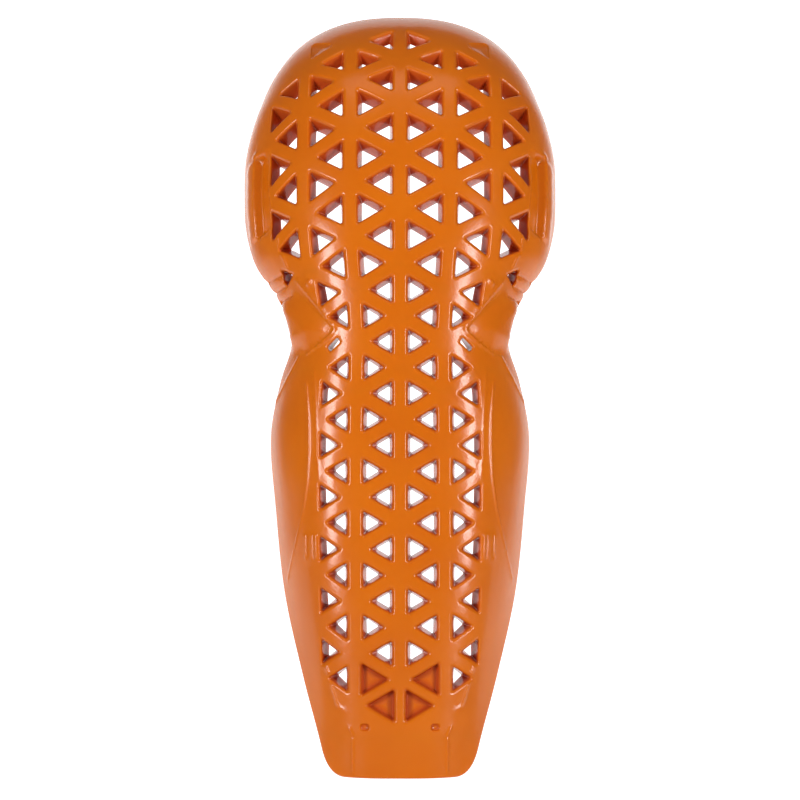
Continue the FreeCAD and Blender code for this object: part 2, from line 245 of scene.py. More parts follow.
def section_curves(height):
    """Each height's section: steps across and back, length from centre to rim, setback and lean."""
    values = station_values(height)
    lean, rim_slope = np.radians(values[:, 2]), np.radians(values[:, 4])
    share = (np.arange(CURVE_STEPS) + 0.5) / CURVE_STEPS
    even = share**CURVE_POWER
    boxy = smooth((share - SHOULDER[0]) / (SHOULDER[1] - SHOULDER[0]))
    boxiness = values[:, 5:6]
    slope = rim_slope[:, None] * ((1 - boxiness) * even + boxiness * boxy)
    start = np.zeros((len(height), 1))
    across = np.hstack([start, np.cumsum(np.cos(slope), axis=1)]) / CURVE_STEPS
    back = np.hstack([start, np.cumsum(np.sin(slope), axis=1)]) / CURVE_STEPS
    return across, back, values[:, 3] / across[:, -1], values[:, 1], lean


def outer_points(along, height):
    """Points of the outer face, in millimetres."""
    across, back, length, setback, lean = section_curves(height)
    place = np.abs(along) / length * CURVE_STEPS
    index = np.clip(place.astype(int), 0, CURVE_STEPS - 1)
    part = place - index
    row = np.arange(len(height))
    x = across[row, index] + (across[row, index + 1] - across[row, index]) * part
    depth = back[row, index] + (back[row, index + 1] - back[row, index]) * part
    x = x * length * np.where(along < 0, -1.0, 1.0)
    depth = depth * length
    return np.stack([x, setback + depth * np.cos(lean), height - depth * np.sin(lean)], axis=1)


def unit(vectors):
    return vectors / np.maximum(np.linalg.norm(vectors, axis=1, keepdims=True), 1e-9)


def outer_frame(along, height):
    """Outer points with the face's sideways and outward directions."""
    step = 0.4
    here = outer_points(along, height)
    up = unit(outer_points(along, height + step) - outer_points(along, height - step))
    side = unit(outer_points(along + step, height) - outer_points(along - step, height))
    return here, side, unit(np.cross(side, up))


def rim_length(height):
    return section_curves(np.atleast_1d(np.asarray(height, float)))[2]


def wall_thickness(places):
    """Full in the lattice, thinner towards the rims, the brow and the toe."""
    along, height = places[:, 0], places[:, 1]
    edge = smooth((rim_length(height) - np.abs(along)) / RIM_TAPER)
    brow = np.clip((height - BROW_START) / BROW_RUN, 0.0, 1.0)
    toe = np.clip((TOE_START - height) / TOE_RUN, 0.0, 1.0)
    middle = WALL + (BROW_WALL - WALL) * brow + (TOE_WALL - WALL) * toe
    return RIM_WALL + (middle - RIM_WALL) * edge


def locate(reach, height):
    """The (along, height) place that shows at a reach and height in the front view."""
    rounds, step = 25, 0.8
    row = np.array([height], float)
    for _ in range(rounds):
        across, _, length, _, _ = section_curves(row)
        along = np.interp(reach, across[0] * length[0], np.linspace(0, length[0], CURVE_STEPS + 1))
        shown = outer_points(np.array([along]), row)[0, 2]
        row = row + step * (height - shown)
    return float(along), float(row[0])


# ---- the lattice's layout
def row_heights():
    rows = list(KNEE_ROWS)
    for _ in range(SHIN_ROW_COUNT):
        rows.append(rows[-1] - SHIN_PITCH)
    return np.array(rows)


ROWS = row_heights()
BETWEEN = np.concatenate([[ROWS[0] + TOP_RIB_GAP], (ROWS[:-1] + ROWS[1:]) / 2])


def column_edge(number, height):
    """Length along the wall from the centre rib to a rib: the columns are narrowest at the waist."""
    from_waist = height - WAIST_HEIGHT
    far = KNEE_COLUMN if from_waist > 0 else SHIN_COLUMN
    spread = min(abs(from_waist) / COLUMN_RUN, 1.0)
    return number * (WAIST_COLUMN + (far - WAIST_COLUMN) * math.sin(spread * math.pi / 2) ** 2)


def rib_node(rib, row):
    """Where ribs meet: on odd ribs at the row heights, on even ribs half way below each row."""
    height = ROWS[row] if rib % 2 else BETWEEN[row + 1]
    rise = ROW_RISE * min(max(height / ROW_RISE_RUN, 0.0), 1.0) * (rib / OUTER_RIB) ** 2
    return column_edge(rib, height), height + rise


def cell_corners(column, row, odd):
    """Corners of a lattice triangle; odd ones are centred half a row below the row's height."""
    near, far = column, column + 1
    if odd:
        flat, tip = (near, far) if near % 2 else (far, near)
        corners = [rib_node(flat, row), rib_node(flat, row + 1), rib_node(tip, row)]
    else:
        flat, tip = (far, near) if near % 2 else (near, far)
        corners = [rib_node(flat, row - 1), rib_node(flat, row), rib_node(tip, row)]
    return counter_clockwise(np.array(corners))


def counter_clockwise(corners):
    nxt = np.roll(corners, -1, axis=0)
    area = np.sum(corners[:, 0] * nxt[:, 1] - nxt[:, 0] * corners[:, 1])
    return corners if area > 0 else corners[::-1]


class Cell:
    """A hole or a blind recess: its outline in (along, height) and how its wall is shaped."""

    def __init__(self, corners, depth=None, front=FLAT_INSET, edge=EDGE_ROUND, bevel=BEVEL_RUN,
                 back=BACK_INSET, corner=CORNER_ROUND):
        self.corners = counter_clockwise(np.array(corners, float))
        self.depth, self.front, self.edge = depth, front, edge
        self.bevel, self.back, self.corner = bevel, back, corner
        self.middle = self.corners.mean(axis=0)

    def loop(self, inset):
        """Rounded outline at an inset from the cell's edges, with as many points at every inset."""
        corners = self.corners
        forward = unit(np.roll(corners, -1, axis=0) - corners)
        inward = np.stack([-forward[:, 1], forward[:, 0]], axis=1)
        radius = max(self.corner - CORNER_TIGHTENING * (inset - self.front), CORNER_LEAST)
        arcs = []
        for index, place in enumerate(corners):
            before, after = inward[index - 1], inward[index]
            corner = np.linalg.solve([before, after], [before @ place + inset, after @ place + inset])
            turn = math.acos(float(np.clip(forward[index - 1] @ forward[index], -1, 1)))
            centre = corner + forward[index] * radius * math.tan(turn / 2) + after * radius
            start = math.atan2(-before[1], -before[0])
            angles = [start + turn * step / ARC_STEPS for step in range(ARC_STEPS + 1)]
            arcs.append([centre + radius * np.array([math.cos(a), math.sin(a)]) for a in angles])
        points = []
        for arc, following in zip(arcs, arcs[1:] + arcs[:1]):
            points.extend(arc)
            here, there = arc[-1], following[0]
            points.extend(here + (there - here) * step / SIDE_STEPS for step in range(1, SIDE_STEPS))
        return np.array(points)

    def edge_profile(self):
        """(inset, depth) from the flat face, round the edge and down the bevel."""
        turn = math.radians(BEVEL_SLOPE if self.bevel else 90.0)
        angles = [turn * step / EDGE_STEPS for step in range(EDGE_STEPS + 1)]
        profile = [(self.front + self.edge * math.sin(a), self.edge * (1 - math.cos(a))) for a in angles]
        if self.bevel:
            inset, depth = profile[-1]
            for share in (0.5, 1.0):
                run = self.bevel * share
                profile.append((inset + run * math.cos(turn), depth + run * math.sin(turn)))
        return profile

    def rings(self):
        """(loop, depth) from the front to the floor, or to the back, where the depth is None."""
        profile = self.edge_profile()
        top, edge_depth = profile[-1]
        if self.depth:
            for share in (0.5, 1.0):
                depth = edge_depth + (self.depth - FLOOR_ROUND - edge_depth) * share
                profile.append((top + (self.back - top) * share, depth))
            profile.append((self.back + FLOOR_ROUND, self.depth))
            loops = [(self.loop(inset), depth) for inset, depth in profile]
            return [(loop, np.full(len(loop), depth)) for loop, depth in loops]
        lean = self.lean()
        rings = []
        for inset, depth in profile:
            loop = self.loop(inset)
            rings.append(leaned(loop, np.full(len(loop), depth), lean))
        for share in (1 / 3, 2 / 3, 1.0):
            loop = self.loop(top + (self.back - top) * share)
            deep = edge_depth + (wall_thickness(loop) - BACK_ROUND - edge_depth) * share
            rings.append(leaned(loop, deep, lean))
        for angle in (math.radians(45), math.radians(90)):
            loop = self.loop(self.back - BACK_ROUND * (1 - math.cos(angle)))
            rings.append(leaned(loop, wall_thickness(loop) - BACK_ROUND * (1 - math.sin(angle)), lean))
        rings[-1] = (rings[-1][0], None)
        return rings

    def lean(self):
        """How far the hole's back end lies outboard, because its axis leans towards straight back."""
        _, side, out = outer_frame(self.middle[:1], self.middle[1:2])
        wall = float(wall_thickness(self.middle[None, :])[0])
        slope = float(side[0, 1] / max(-out[0, 1], LEAST_FACING))
        on_shin = smooth((WAIST_BEND[0] - self.middle[1]) / LEAN_CHANGE)
        most = KNEE_LEAN + (SHIN_LEAN - KNEE_LEAN) * on_shin
        part = most * smooth((abs(self.middle[0]) - LEAN_FROM) / LEAN_RUN)
        return np.array([wall * slope * part, 0.0])


def leaned(loop, deep, lean):
    """A ring of a hole's wall at its depths, moved by its share of the lean."""
    return loop + lean * (deep / wall_thickness(loop))[:, None], deep


def lattice_cells():
    """Every hole and blind recess on the right half, and the slot and dimple beside them."""
    holes = [(0, row, False) for row in range(LAST_OPEN_ROW + 1)]
    holes += [(0, row, True) for row in range(LAST_OPEN_ROW)]
    cells = [Cell(cell_corners(*hole)) for hole in holes]
    for row, odd in ((LAST_OPEN_ROW, True), (LAST_OPEN_ROW + 1, False)):
        corners = cell_corners(0, row, odd)
        cells.append(Cell(corners, depth=RECESS_DEPTH, front=RECESS_FRONT, back=RECESS_INSET))
    holes = [(1, row, False) for row in range(1, LAST_OPEN_ROW + 1) if row != GUSSET_ROW]
    holes += [(1, row, True) for row in range(LAST_OPEN_ROW + 1)]
    for row in (1, 2, 3):
        holes += [(2, row, False), (2, row, True)]
    holes.append((2, 4, False))
    cells += [Cell(cell_corners(*hole)) for hole in holes]
    cells.append(Cell(cell_corners(2, 4, True), front=LAST_FRONT, back=LAST_BACK))
    cells.append(Cell(cell_corners(1, 0, False), depth=0.6, front=2.6, edge=0.4, bevel=0.0, back=3.3))
    cells.append(slot_cell())
    cells.append(dimple_cell())
    return cells


def slot_cell():
    """The slanted slot beside the waist's narrowest point."""
    middle = np.array(locate(*SLOT_PLACE))
    angle = math.radians(-SLOT_SLOPE)
    along = np.array([math.cos(angle), math.sin(angle)])
    across = np.array([math.cos(angle + SLOT_SKEW), math.sin(angle + SLOT_SKEW)])
    length, width = along * SLOT_LENGTH / 2, across * SLOT_WIDTH / 2
    corners = [middle + length * a + width * b for a, b in ((-1, -1), (1, -1), (1, 1), (-1, 1))]
    return Cell(corners, front=0.0, edge=1.2, bevel=0.0, back=1.6, corner=1.5)


def dimple_cell():
    """The shallow round-cornered dimple beside the lattice's foot."""
    middle = np.array(locate(*DIMPLE_PLACE))
    corners = [middle + np.array(DIMPLE_HALF) * sign for sign in ((-1, -1), (1, -1), (1, 1), (-1, 1))]
    return Cell(corners, depth=1.4, front=0.0, edge=0.5, bevel=0.0, back=0.8, corner=1.6)


# ---- lines across the moulding
def resample(points, step):
    """Points along straight runs, no further apart than the step."""
    points = np.array(points, float)
    result = [points[0]]
    for before, after in zip(points[:-1], points[1:]):
        count = max(1, math.ceil(np.linalg.norm(after - before) / step))
        result.extend(before + (after - before) * index / count for index in range(1, count + 1))
    return np.array(result)


def edge_along(height):
    """Length along the wall at which the rim's rounding starts."""
    return rim_length(height) - RIM_ROUND


def side_path():
    """The skin's edge on the right half, from the toe's middle up to the top's middle."""
    toe = TOE_END + RIM_ROUND
    top = TOP - RIM_ROUND * TOP_CLIMB
    toe_side = float(edge_along(toe + TOE_CORNER)[0])
    top_reach = float(edge_along(top)[0])
    toe_steps, top_steps = CURVED_CORNER_STEPS
    path = list(resample([(0.0, toe), (toe_side - TOE_CORNER_RUN, toe)], SKIN_STEP))
    start, bend = path[-1], np.array([float(edge_along(toe)[0]), toe])
    end = np.array([toe_side, toe + TOE_CORNER])
    path.extend(curve_point(start, bend, end, step / toe_steps) for step in range(1, toe_steps))
    heights = np.linspace(toe + TOE_CORNER, top - TOP_CORNER[1], SIDE_ROWS)
    path.extend(np.stack([edge_along(heights), heights], axis=1))
    start, bend = path[-1], np.array([top_reach, top])
    end = np.array([top_reach - TOP_CORNER[0], top])
    path.extend(curve_point(start, bend, end, step / top_steps) for step in range(1, top_steps))
    path.extend(resample([end, (0.0, top)], SKIN_STEP))
    return np.array(path)


def curve_point(start, bend, end, part):
    """A point of the curve from the start to the end that is drawn towards the bend."""
    return start * (1 - part) ** 2 + bend * 2 * part * (1 - part) + end * part**2


def seen_line(points, step=SKIN_STEP):
    """A line drawn in the front view, as places on the moulding."""
    return np.array([locate(reach, height) for reach, height in resample(points, step)])


def join_edge(path, edge, both=False):
    """The part of a path that lies on the skin, led on to the nearest point of its edge."""
    path = [place for place in path if place[0] < float(edge_along(place[1])[0]) - CUT_ROOM]
    path.append(nearest(edge, path[-1]))
    if both:
        path.insert(0, nearest(edge, path[0]))
    return np.array(path)


def nearest(places, target):
    return places[int(np.argmin(np.linalg.norm(places - target, axis=1)))]


def cut_lines(edge):
    """The lines along which the moulding's zones meet."""
    lines = {}
    for name, (nodes, rise) in CROSS_CUTS.items():
        path = [rib_node(rib, row) for rib, row in nodes]
        lines[name] = path + [(CUT_REACH, path[-1][1] + rise)]
    lines["toe"] = [(0.0, TOE_LINE), (CUT_REACH, TOE_LINE)]
    result = {name: join_edge(resample(path, SKIN_STEP), edge) for name, path in lines.items()}
    for name, ends in (("flap", FLAP_LINE), ("wing", WING_LINE)):
        (low_reach, low), (high_reach, high) = ends
        for extra, offset in (("", 0.0), ("_outer", SIDE_WEB)):
            points = [(low_reach + offset, low), (high_reach + offset, high)]
            result[name + extra] = join_edge(seen_line(points), edge, both=True)
    result["gusset"] = gusset_line(result, edge)
    return result


def gusset_line(lines, edge):
    """From the waist's top line in to the gusset's apex and out to the rim."""
    top = lines["waist_top"]
    start = top[int(np.argmin(np.abs(top[:, 0] - GUSSET_TOP)))]
    return join_edge(resample([start, locate(*GUSSET_APEX), *GUSSET_FOOT], 2.0), edge)


# ---- raised and sunken lines on the front
def relief_lines():
    """(points, rise, half width) of each thin raised or sunken line, seen from the front."""
    lines = [
        (((63.4, 8.0), (60.4, -12.0), (56.8, -28.0), (52.4, -38.0)), 0.55, 0.8),
        (((48.6, -42.4), (41.0, -51.5), (30.4, -64.7), (31.4, -67.6), (37.5, -72.6), (43.5, -77.0)),
         0.65, 0.6),
        (((65.0, -43.2), (55.0, -39.0)), -1.1, 0.9),
        (((62.4, -48.6), (54.0, -44.8)), -1.1, 0.9),
        (((59.8, -53.6), (51.6, -49.6)), -1.1, 0.9),
        (((43.8, -91.5), (42.7, -107.0), (42.5, -122.0), (43.3, -136.0), (45.2, -150.0), (53.0, -183.0)),
         0.5, 0.8),
        (((40.2, -86.0), (39.4, -104.0), (38.6, -122.0), (38.0, -134.0)), 0.2, 0.9),
        (((47.8, -78.4), (53.5, -88.5), (59.6, -100.0)), 0.35, 0.9),
        (((35.9, -217.0), (32.0, -231.0), (28.9, -241.0)), 0.5, 0.7),
        (((26.0, -243.0), (28.4, -241.6)), 0.35, 0.6),
        (((23.6, -250.6), (21.9, -254.0), (21.9, -271.5)), 0.45, 0.7),
    ]
    for reach in (44.4, 41.3, 39.3):
        lines.append((((reach, -162.4), (reach - 0.3, -172.4)), 0.55, 0.7))
    return [(seen_line(points, RELIEF_STEP), rise, width) for points, rise, width in lines]


def distance_to_path(places, path):
    """Distance of each place to a polyline."""
    best = np.full(len(places), 1e9)
    for start, end in zip(path[:-1], path[1:]):
        run = end - start
        part = np.clip(((places - start) @ run) / max(run @ run, 1e-9), 0, 1)
        gap = np.linalg.norm(places - start - part[:, None] * run, axis=1)
        best = np.minimum(best, gap)
    return best


class Relief:
    """The raised and sunken detail of the front face, in millimetres outward."""

    def __init__(self, gusset):
        self.lines = relief_lines()
        self.gusset = gusset
        self.bar = seen_line(FLANK_BAR, RELIEF_STEP)
        self.boss = np.array(locate(*BOSS_PLACE))

    def at(self, places):
        """How far the face stands out at each place."""
        result = np.zeros(len(places))
        for path, rise, width in self.lines:
            near = 1 - smooth(distance_to_path(places, path) / (LINE_FALL * width))
            result += rise * near
        boss_gap = np.linalg.norm(places - self.boss, axis=1)
        result += BOSS_RISE * (1 - smooth((boss_gap - BOSS_RADIUS + BOSS_FALL[0]) / BOSS_FALL[1]))
        return result + self.flank_bar(places) + self.gusset_facet(places)

    def flank_bar(self, places):
        """A bolster down each flank, with a cap above it: the wall sinks towards it and steps up on it."""
        bar = self.bar
        low, high = bar[-1, 1], bar[0, 1]
        outboard = places[:, 0] - np.interp(places[:, 1], bar[::-1, 1], bar[::-1, 0])
        high_run, low_run = BAR_END_RUNS
        window = smooth((high - places[:, 1]) / high_run) * smooth((places[:, 1] - low) / low_run)
        slope = smooth(1 + outboard / BAR_RUN)
        step = smooth(outboard / BAR_STEP_RUN)
        fade = 1 - smooth((outboard - BAR_WIDTH) / BAR_FADE)
        shape = (BAR_RISE * step * fade - BAR_SINK * slope * (1 - step)) * window
        cap_gap = np.linalg.norm((places - bar[0] - CAP_OFFSET) / CAP_SIZE, axis=1)
        return shape + CAP_RISE * (1 - smooth(cap_gap))

    def gusset_facet(self, places):
        """The gusset is flatter than the wall around it: it rises from its crease and falls at the rim."""
        along, height = places[:, 0], places[:, 1]
        outboard = along - np.interp(-height, -self.gusset[:, 1], self.gusset[:, 0])
        gap = np.where(outboard > 0, distance_to_path(places, self.gusset), 0.0)
        high, low = self.gusset[0, 1], self.gusset[-1, 1]
        ends = smooth((high - height) / GUSSET_END_RUNS[0]) * smooth((height - low) / GUSSET_END_RUNS[1])
        rim = smooth((edge_along(height) - along) / GUSSET_RIM_RUN)
        return GUSSET_RISE * np.minimum(gap / GUSSET_RUN, 1.0) * ends * rim

    def fine_places(self):
        """Extra mesh points beside each line, where the shape turns quickly."""
        extra = []
        for path, _, width in self.lines:
            offsets = (0.0, 0.8 * width, -0.8 * width, LINE_FALL * width, -LINE_FALL * width)
            extra.extend(beside(path, offsets, 1.3))
        ends = [self.bar[0] + (0.0, 3.0), *self.bar, self.bar[-1] - (0.0, 3.0)]
        extra.extend(beside(np.array(ends), (-4.0, -2.5, -1.2, -0.3, 0.5, 1.3, 2.1, 3.2, 4.8, 6.4), 1.1))
        extra.extend(beside(self.gusset, (-0.8, -1.6), 1.5))
        turns = [np.array([math.cos(math.radians(a)), math.sin(math.radians(a))]) for a in range(0, 360, 30)]
        extra.extend(self.boss + radius * turn for radius in BOSS_RINGS for turn in turns)
        return extra


def beside(path, offsets, step):
    """Places along a polyline and at offsets to each side of it."""
    dense = resample(path, step)
    run = unit(np.gradient(dense, axis=0))
    across = np.stack([-run[:, 1], run[:, 0]], axis=1)
    return [place for offset in offsets for place in dense + across * offset]


# ---- the two skins
def inside_polygon(places, loop):
    """Which places lie inside a polygon."""
    result = np.zeros(len(places), bool)
    nxt = np.roll(loop, -1, axis=0)
    for (x0, y0), (x1, y1) in zip(loop, nxt):
        crosses = (y0 > places[:, 1]) != (y1 > places[:, 1])
        with np.errstate(divide="ignore", invalid="ignore"):
            where = x0 + (places[:, 1] - y0) * (x1 - x0) / (y1 - y0)
        result ^= crosses & (places[:, 0] < where)
    return result


def skin_places(edge, loops, fixed, extra):
    """Mesh points between the holes: an even grid, and the extra points, clear of every fixed point."""
    rows = np.arange(TOE_END, TOP, SKIN_STEP * GRID_ROW)
    grid = [(column * SKIN_STEP + SKIN_STEP * (0.5 if index % 2 else 1.0), row)
            for index, row in enumerate(rows) for column in range(GRID_COLUMNS)]
    chosen = []
    for places, room in ((np.array(extra).reshape(-1, 2), EXTRA_ROOM), (np.array(grid), GRID_ROOM)):
        places = places[places[:, 0] < edge_along(places[:, 1]) - EDGE_ROOM]
        places = places[(places[:, 0] > MIDDLE_ROOM) & inside_polygon(places, edge)]
        for loop in loops:
            near = np.all((places > loop.min(axis=0)) & (places < loop.max(axis=0)), axis=1)
            inside = near.copy()
            inside[near] = inside_polygon(places[near], loop)
            places = places[~inside]
        kept = thin_out(clear_of(fixed, places, room), room)
        chosen.extend(clear_of(chosen, kept, room))
    return chosen


def clear_of(others, places, room):
    """The places that have the room asked for around them clear of the others."""
    if not others:
        return places
    tree = KDTree(len(others))
    for index, place in enumerate(others):
        tree.insert((place[0], place[1], 0.0), index)
    tree.balance()
    return [place for place in places if tree.find((place[0], place[1], 0.0))[2] > room]


def thin_out(places, room):
    """The places, without those too near to one before them."""
    closest = room * 0.95
    taken = {}
    result = []
    for place in places:
        key = (int(place[0] // room), int(place[1] // room))
        around = [taken.get((key[0] + i, key[1] + j)) for i in (-1, 0, 1) for j in (-1, 0, 1)]
        if all(other is None or np.linalg.norm(other - place) > closest for other in around):
            taken[key] = place
            result.append(place)
    return result


def make_skin(edge, loops, lines, extra):
    """Triangulates one face of the wall: (places, triangles, indices of the edge, indices of each loop)."""
    starts = sorted({float(line[0][1]) for line in lines if abs(line[0][0]) < 1e-6}, reverse=True)
    centre = [edge[-1]]
    for height in starts + [edge[0][1]]:
        centre.extend(resample([centre[-1], (0.0, height)], SKIN_STEP)[1:])
    outline = np.vstack([edge, np.array(centre[1:-1])])
    places = list(outline)
    faces = [list(range(len(outline)))]
    for loop in loops:
        faces.append(list(range(len(places), len(places) + len(loop))))
        places.extend(loop)
    edges = []
    for line in lines:
        first = len(places)
        places.extend(line)
        edges.extend((index, index + 1) for index in range(first, first + len(line) - 1))
    places.extend(skin_places(edge, loops, places, extra))
    vectors = [Vector((float(place[0]), float(place[1]))) for place in places]
    inside_only, merge_gap = 1, 1e-4
    out, _, triangles, origin, _, face_origin = delaunay_2d_cdt(vectors, edges, faces, inside_only, merge_gap)
    where = {}
    for index, sources in enumerate(origin):
        for source in sources:
            where[source] = index
    kept = [list(tri) for tri, source in zip(triangles, face_origin) if list(source) == [0]]
    points = np.array([(place.x, place.y) for place in out])
    kept = [tri if turns_left(points[tri]) else tri[::-1] for tri in kept]
    edge_ids = [where[index] for index in range(len(edge))]
    loop_ids = [[where[index] for index in face] for face in faces[1:]]
    return points, kept, edge_ids, loop_ids


def turns_left(corners):
    a, b, c = corners
    return (b[0] - a[0]) * (c[1] - a[1]) - (b[1] - a[1]) * (c[0] - a[0]) > 0


# ---- zones
class Zones:
    """Which zone of the moulding each place on its right half belongs to."""

    def __init__(self, lines):
        self.lines = lines

    def above(self, name, places):
        line = self.lines[name]
        return places[:, 1] > np.interp(places[:, 0], line[:, 0], line[:, 1])

    def outboard(self, name, places):
        line = self.lines[name]
        return inside_polygon(places, np.vstack([line, (FAR_OUT, line[-1, 1]), (FAR_OUT, line[0, 1])]))

    def names(self, places):
        brow, knee = self.above("brow", places), self.above("waist_top", places)
        waist, shin = self.above("waist_foot", places), self.above("toe", places)
        zones = np.full(len(places), "toe_panel", dtype=object)
        zones[shin] = "shin_plate"
        zones[waist] = "waist_web"
        zones[waist & self.outboard("gusset", places)] = "right_waist_gusset"
        zones[knee] = "knee_cup"
        flanks = (("flap", "right_knee_flap", knee), ("wing", "right_shin_wing", shin & ~waist))
        for line, zone, owner in flanks:
            zones[owner & self.outboard(line, places)] = zone + "_web"
            zones[owner & self.outboard(line + "_outer", places)] = zone
        zones[brow] = "knee_brow"
        return zones


# ---- the whole moulding
class Moulding:
    """The closed wall of the whole guard, with the zone of each face."""

    def __init__(self):
        self.points, self.faces, self.zones = [], [], []
        self.back_of, self.hole_shade = {}, {}
        edge = side_path()
        lines = cut_lines(edge)
        self.zone_names = Zones(lines)
        self.relief = Relief(lines["gusset"])
        self.build_right(edge, list(lines.values()))
        self.mirror()

    def place_front(self, places):
        here, _, out = outer_frame(places[:, 0], places[:, 1])
        on_middle = np.abs(places[:, 0]) < 1e-6
        here[on_middle, 0] = 0.0
        out[on_middle, 0] = 0.0
        return here, unit(out)

    def ring_points(self, places, depth):
        """Points below the front face, or on the back face where the depth is None."""
        here, out = self.place_front(places)
        wall = wall_thickness(places)
        depth = wall if depth is None else depth
        rise = self.relief.at(places) * (1 - np.clip(depth / wall, 0, 1))
        return here + out * (rise - depth)[:, None]

    def add_points(self, points):
        first = len(self.points)
        self.points.extend(points)
        return list(range(first, first + len(points)))

    def build_right(self, edge, lines):
        cells = lattice_cells()
        rings = [cell.rings() for cell in cells]
        front_loops = [ring[0][0] for ring in rings]
        through = [index for index, cell in enumerate(cells) if not cell.depth]
        back_loops = [rings[index][-1][0] for index in through]
        extra = self.relief.fine_places()
        front, triangles, front_edge, front_ids = make_skin(edge, front_loops, lines, extra)
        first = self.add_points(self.ring_points(front, np.zeros(len(front))))[0]
        zone_at_edge = self.add_skin(front, triangles, first, False)
        back, back_triangles, back_edge, back_ids = make_skin(edge, back_loops, lines, [])
        back_first = self.add_points(self.ring_points(back, None))[0]
        self.add_skin(back, back_triangles, back_first, True)
        self.match_back(front, first, back, back_first)
        for number, cell in enumerate(cells):
            top = [index + first for index in front_ids[number]]
            foot = None
            if number in through:
                foot = [index + back_first for index in back_ids[through.index(number)]]
            self.add_cell(cell, rings[number], top, foot)
        self.add_rim(front, front_edge, first, [index + back_first for index in back_edge], zone_at_edge)

    def add_skin(self, places, triangles, first, back):
        """Adds a skin's triangles; returns the zone beside each directed edge."""
        beside_edge = {}
        zones = self.zone_names.names(places[np.array(triangles)].mean(axis=1))
        for triangle, zone in zip(triangles, zones):
            corners = [index + first for index in triangle]
            self.faces.append(tuple(corners[::-1] if back else corners))
            self.zones.append(zone)
            for step in range(3):
                beside_edge[(triangle[step], triangle[(step + 1) % 3])] = zone
        return beside_edge

    def match_back(self, front, first, back, back_first):
        place = {(round(x, 3), round(y, 3)): index for index, (x, y) in enumerate(back)}
        for index, (x, y) in enumerate(front):
            other = place.get((round(x, 3), round(y, 3)))
            if other is not None:
                self.back_of[index + first] = other + back_first

    def add_quads(self, upper, lower, zone, reverse=False, closed=True):
        count = len(upper)
        for step in range(count if closed else count - 1):
            a, b = step, (step + 1) % count
            corners = (upper[a], upper[b], lower[b], lower[a])
            self.faces.append(corners[::-1] if reverse else corners)
            self.zones.append(zone if isinstance(zone, str) else zone[step])

    def add_cell(self, cell, rings, top, foot):
        zone = self.zone_names.names(cell.middle[None, :])[0]
        upper = top
        last = len(rings) - 1
        for number, (loop, depth) in enumerate(rings[1:], start=1):
            if number == last and foot:
                lower = foot
            else:
                lower = self.add_points(self.ring_points(loop, depth))
                # Painted shade: each point of a hole's wall is painted darker the deeper it lies.
                self.hole_shade.update(zip(lower, smooth((depth - HOLE_SHADE_FROM) / HOLE_SHADE_RUN)))
            self.add_quads(upper, lower, zone)
            upper = lower
        if foot is None:
            middle = cell.middle[None, :]
            centre = self.add_points(self.ring_points(middle, np.array([cell.depth])))[0]
            for step in range(len(upper)):
                self.faces.append((upper[step], upper[(step + 1) % len(upper)], centre))
                self.zones.append(zone)

    def add_rim(self, front, front_edge, first, back_ids, beside_edge):
        """Rounds the moulding's free edge from the front skin to the back skin."""
        places = front[front_edge]
        here, out = self.place_front(places)
        wall = wall_thickness(places)
        rise = self.relief.at(places)
        run = unit(np.gradient(here, axis=0))
        run[[0, -1]] = (1.0, 0.0, 0.0), (-1.0, 0.0, 0.0)
        outward = unit(np.cross(run, out))
        outward[[0, -1], 0] = 0.0
        zones = [beside_edge[(a, b)] for a, b in zip(front_edge[:-1], front_edge[1:])]
        arc = [math.radians(angle) for angle in (0, 22.5, 45, 67.5, 90)]
        profile = [(RIM_ROUND * math.sin(a), RIM_ROUND * (1 - math.cos(a)), 0.0) for a in arc[1:]]
        profile += [(RIM_ROUND * math.cos(a), RIM_ROUND * (math.sin(a) - 1), 1.0) for a in arc[:-1]]
        upper = [index + first for index in front_edge]
        for reach, drop, part in profile:
            depth = drop + wall * part
            lift = rise * (1 - np.clip(depth / wall, 0, 1)) - depth
            lower = self.add_points(here + outward * reach + out * lift[:, None])
            self.add_quads(upper, lower, zones, reverse=True, closed=False)
            upper = lower
        self.add_quads(upper, back_ids, zones, reverse=True, closed=False)

    def mirror(self):
        """Adds the left half, which shares the points on the middle plane."""
        points = np.array(self.points)
        other = {}
        count = len(points)
        extra = []
        for index, point in enumerate(points):
            if abs(point[0]) < 1e-4:
                points[index, 0] = 0.0
                other[index] = index
            else:
                other[index] = count + len(extra)
                extra.append(point * (-1.0, 1.0, 1.0))
        self.points = np.vstack([points, np.array(extra)])
        faces = [tuple(other[index] for index in face[::-1]) for face in self.faces]
        zones = [zone.replace("right_", "left_") for zone in self.zones]
        self.faces += faces
        self.zones += zones
        self.back_of.update({other[front]: other[back] for front, back in list(self.back_of.items())})
        self.hole_shade.update({other[index]: value for index, value in list(self.hole_shade.items())})

    def point_normals(self):
        """Each point's normal, from the faces around it; larger faces count for more."""
        normals = np.zeros_like(self.points)
        for size in (3, 4):
            faces = np.array([face for face in self.faces if len(face) == size])
            corners = self.points[faces]
            if size == 3:
                normal = np.cross(corners[:, 1] - corners[:, 0], corners[:, 2] - corners[:, 0])
            else:
                normal = np.cross(corners[:, 2] - corners[:, 0], corners[:, 3] - corners[:, 1])
            for column in range(size):
                np.add.at(normals, faces[:, column], normal)
        return unit(normals)


def open_edges(faces):
    """Directed edges that no other face shares."""
    edges = {(face[step - 1], face[step]) for face in faces for step in range(len(face))}
    return [edge for edge in edges if (edge[1], edge[0]) not in edges]


def cut_faces(faces, back_of):
    """Closes a zone where it was cut off: a wall along each cut, and a cap at each end at the rim."""
    walls = [(b, a, back_of[a], back_of[b]) for a, b in open_edges(faces) if a in back_of and b in back_of]
    rest = dict((b, a) for a, b in open_edges(faces + walls))
    caps = []
    while rest:
        start, here = next(iter(rest.items()))
        loop = [start]
        del rest[start]
        while here != start:
            loop.append(here)
            here = rest.pop(here)
        caps.append(tuple(loop))
    return walls + caps


